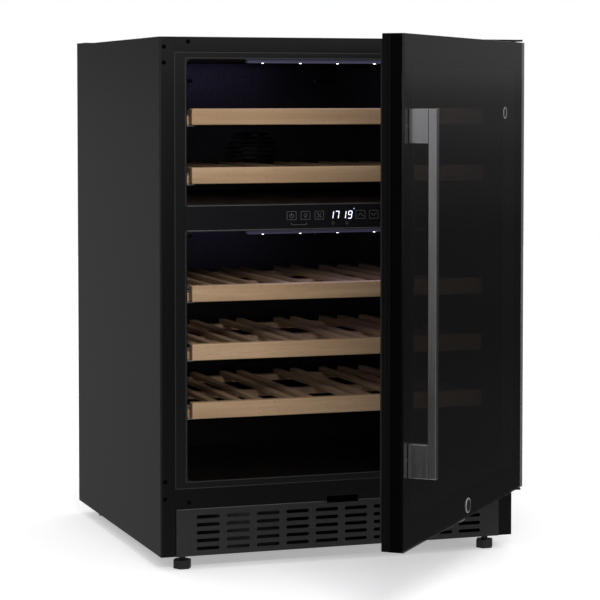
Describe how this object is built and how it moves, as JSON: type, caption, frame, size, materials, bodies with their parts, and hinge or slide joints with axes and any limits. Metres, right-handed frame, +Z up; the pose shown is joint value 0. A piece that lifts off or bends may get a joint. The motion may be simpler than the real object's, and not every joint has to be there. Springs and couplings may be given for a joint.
{
  "type": "wine cooler",
  "caption": "Dual-zone wine cooler with a hinged tinted-glass door, square bar handle, sliding beech shelves, touch control strip, vented kick plate and levelling feet.",
  "frame": {"origin": "on the floor, below the middle of the casing's front plane", "axes": "+X to the hinge side, +Y into the cabinet, +Z up; the door stands open at 49.4 degrees in the rest pose"},
  "size_m": [0.6014, 1.0464, 0.8316],
  "materials": {
    "black_steel": "satin",
    "dark_steel": "satin",
    "galvanised_steel": "satin",
    "black_plastic": "matte",
    "liner_plastic": "satin",
    "insulation_foam": "matte",
    "panel_glass": "gloss",
    "circuit_board": "matte",
    "light_diffuser": "satin",
    "compressor_steel": "satin",
    "rubber": "matte",
    "aluminium_fins": "satin",
    "fan_plastic": "satin",
    "beech": "satin",
    "door_glass": "gloss",
    "inner_pane": "gloss",
    "handle_steel": "satin",
    "bright_steel": "satin",
    "grey_plastic": "satin"
  },
  "bodies": {
    "cabinet": {"left_side_panel": "black_steel", "right_side_panel": "black_steel", "top_panel": "black_steel", "back_panel": "black_steel", "machine_cover": "dark_steel", "base_plate": "dark_steel", "base_partition": "black_steel", "upper_liner": "liner_plastic", "lower_liner": "liner_plastic", "foam_insulation": "insulation_foam", "zone_divider": "insulation_foam", "control_panel": "black_plastic", "touch_glass": "panel_glass", "display_board": "circuit_board", "led_strips": "light_diffuser", "kick_plate": "black_plastic", "upper_hinge_bracket": "dark_steel", "lower_hinge_bracket": "dark_steel", "hinge_screws": "bright_steel", "hole_plugs": "black_plastic", "compressor": "compressor_steel", "compressor_mounts": "rubber", "condenser": "dark_steel", "drip_tray": "black_plastic", "evaporators": "aluminium_fins", "duct_covers": "liner_plastic", "fan_motors": "fan_plastic", "cable_gland": "black_plastic", "shelf_runners": "galvanised_steel"},
    "door": {"door_frame": "black_plastic", "door_inner_trim": "grey_plastic", "outer_glass": "door_glass", "inner_glass": "inner_pane", "glass_spacer": "galvanised_steel", "door_gasket": "rubber", "handle_bar": "handle_steel", "handle_posts": "handle_steel", "handle_screws": "bright_steel", "hinge_bushes": "grey_plastic", "lock_guide": "grey_plastic", "hole_cap": "dark_steel"},
    "lock_key": {"lock_barrel": "bright_steel"},
    "bolt": {"lock_bolt": "bright_steel"},
    "shelf_1": {"shelf_1_front": "beech", "shelf_1_rack": "beech"},
    "shelf_2": {"shelf_2_front": "beech", "shelf_2_rack": "beech"},
    "shelf_3": {"shelf_3_front": "beech", "shelf_3_rack": "beech"},
    "shelf_4": {"shelf_4_front": "beech", "shelf_4_rack": "beech"},
    "shelf_5": {"shelf_5_front": "beech", "shelf_5_rack": "beech"},
    "upper_fan": {"upper_fan": "fan_plastic"},
    "lower_fan": {"lower_fan": "fan_plastic"},
    "condenser_fan": {"condenser_fan": "fan_plastic"},
    "foot_front_left": {"foot_front_left": "black_plastic"},
    "foot_front_right": {"foot_front_right": "black_plastic"},
    "foot_rear_left": {"foot_rear_left": "black_plastic"},
    "foot_rear_right": {"foot_rear_right": "black_plastic"}
  },
  "joints": [
    {"name": "door_hinge", "type": "hinge", "parent": "cabinet", "child": "door", "pos_m": [0.285, -0.026, 0.465], "axis": [0, 0, 1], "range_deg": [-49.4, 65.6]},
    {"name": "shelf_1_slide", "type": "slide", "parent": "cabinet", "child": "shelf_1", "axis": [0, -1, 0], "range_m": [0, 0.05]},
    {"name": "shelf_2_slide", "type": "slide", "parent": "cabinet", "child": "shelf_2", "axis": [0, -1, 0], "range_m": [0, 0.05]},
    {"name": "shelf_3_slide", "type": "slide", "parent": "cabinet", "child": "shelf_3", "axis": [0, -1, 0], "range_m": [0, 0.05]},
    {"name": "shelf_4_slide", "type": "slide", "parent": "cabinet", "child": "shelf_4", "axis": [0, -1, 0], "range_m": [0, 0.05]},
    {"name": "shelf_5_slide", "type": "slide", "parent": "cabinet", "child": "shelf_5", "axis": [0, -1, 0], "range_m": [0, 0.05]},
    {"name": "lock_turn", "type": "hinge", "parent": "door", "child": "lock_key", "pos_m": [0.09497, -0.23849, 0.1234], "axis": [-0.7593, 0.6508, 0], "range_deg": [0, 90]},
    {"name": "bolt_drop", "type": "slide", "parent": "door", "child": "bolt", "axis": [0, 0, 1], "range_m": [-0.006, 0]},
    {"name": "upper_fan_spin", "type": "hinge", "parent": "cabinet", "child": "upper_fan", "pos_m": [0, 0.4805, 0.64], "axis": [0, 1, 0], "continuous": true},
    {"name": "lower_fan_spin", "type": "hinge", "parent": "cabinet", "child": "lower_fan", "pos_m": [0, 0.4805, 0.3], "axis": [0, 1, 0], "continuous": true},
    {"name": "condenser_fan_spin", "type": "hinge", "parent": "cabinet", "child": "condenser_fan", "pos_m": [0.03, 0.472, 0.102], "axis": [1, 0, 0], "continuous": true},
    {"name": "foot_front_left_turn", "type": "hinge", "parent": "cabinet", "child": "foot_front_left", "pos_m": [-0.2575, 0.02, 0.012], "axis": [0, 0, 1], "continuous": true},
    {"name": "foot_front_right_turn", "type": "hinge", "parent": "cabinet", "child": "foot_front_right", "pos_m": [0.2575, 0.02, 0.012], "axis": [0, 0, 1], "continuous": true},
    {"name": "foot_rear_left_turn", "type": "hinge", "parent": "cabinet", "child": "foot_rear_left", "pos_m": [-0.2575, 0.5, 0.012], "axis": [0, 0, 1], "continuous": true},
    {"name": "foot_rear_right_turn", "type": "hinge", "parent": "cabinet", "child": "foot_rear_right", "pos_m": [0.2575, 0.5, 0.012], "axis": [0, 0, 1], "continuous": true}
  ],
  "couplings": [
    {"joint": "lock_turn", "follows": "bolt_drop", "rad_per_m": -261.79}
  ]
}
